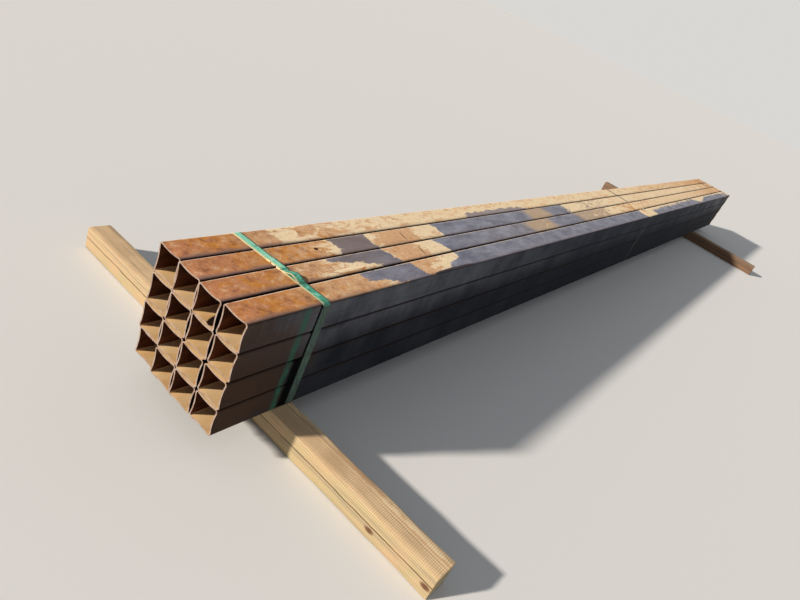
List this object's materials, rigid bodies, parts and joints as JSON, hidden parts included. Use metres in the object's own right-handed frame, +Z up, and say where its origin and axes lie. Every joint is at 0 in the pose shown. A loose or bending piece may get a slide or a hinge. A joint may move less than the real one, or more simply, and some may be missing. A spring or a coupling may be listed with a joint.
{
  "type": "strapped bundle of square steel tubes",
  "caption": "Strapped bundle of rusty square steel tubes, their sawn ends dished inwards, stacked in rows and lying across sawn timber bearers.",
  "frame": {"origin": "on the floor under the middle of the bundle, centred on its overall length and on the bearers' length", "axes": "+X along the tubes from the front end, which is the picture's near end, to the rear; +Y across towards column 1; +Z up"},
  "size_m": [7.3186, 1.829, 0.5184],
  "materials": {
    "tube_steel": "mill-scaled hot formed steel with surface rust",
    "strap_paint": "steel strap sprayed green, matt",
    "strap_steel": "bare steel strap with light rust",
    "bearer_timber": "rough sawn softwood, weathered"
  },
  "bodies": {
    "root": {"tube_row1_column1": "tube_steel", "tube_row1_column2": "tube_steel", "tube_row1_column3": "tube_steel", "tube_row1_column4": "tube_steel", "tube_row2_column1": "tube_steel", "tube_row2_column2": "tube_steel", "tube_row2_column3": "tube_steel", "tube_row2_column4": "tube_steel", "tube_row3_column1": "tube_steel", "tube_row3_column2": "tube_steel", "tube_row3_column3": "tube_steel", "tube_row3_column4": "tube_steel", "tube_row4_column1": "tube_steel", "tube_row4_column2": "tube_steel", "tube_row4_column3": "tube_steel", "tube_row4_column4": "tube_steel", "strap_front": "strap_paint", "seal_front": "strap_paint", "strap_middle": "strap_steel", "seal_middle": "strap_steel", "strap_rear": "strap_steel", "seal_rear": "strap_steel", "bearer_front": "bearer_timber", "bearer_rear": "bearer_timber"}
  },
  "joints": []
}
